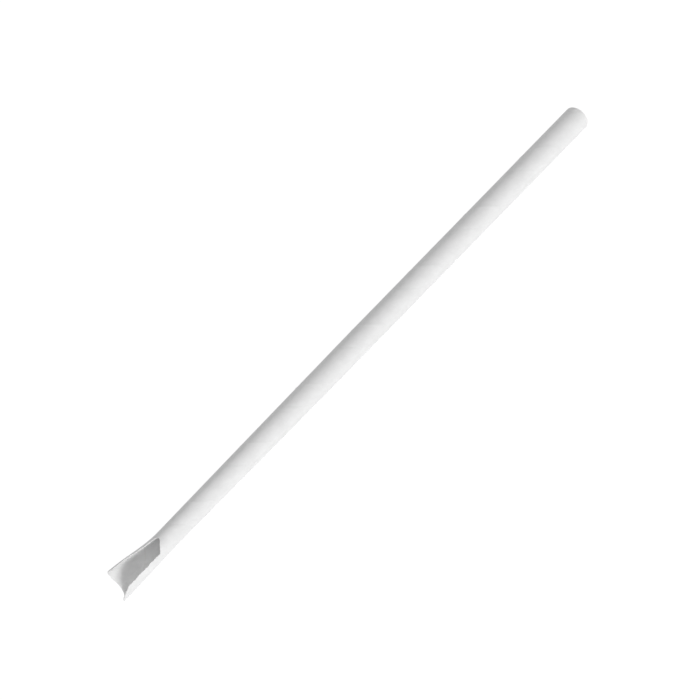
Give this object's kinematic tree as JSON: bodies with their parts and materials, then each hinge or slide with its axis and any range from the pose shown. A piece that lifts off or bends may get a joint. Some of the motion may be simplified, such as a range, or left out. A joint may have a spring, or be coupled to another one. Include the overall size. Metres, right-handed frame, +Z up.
{
  "type": "paper spoon straw",
  "caption": "Plain white spiral-wound paper straw with one square-cut end and one slotted, opened scoop end for stirring and spooning.",
  "frame": {"origin": "on the floor, under the middle of the straw, which lies as it rests with its scoop open upwards", "axes": "+X along the straw towards the square-cut mouth end, +Z up out of the scoop, +Y towards the scoop's far side wall"},
  "size_m": [0.1968, 0.0095, 0.0089],
  "materials": {
    "straw_paper": "uncoated matte white, spiral wound"
  },
  "bodies": {
    "root": {"straw": "straw_paper"}
  },
  "joints": []
}
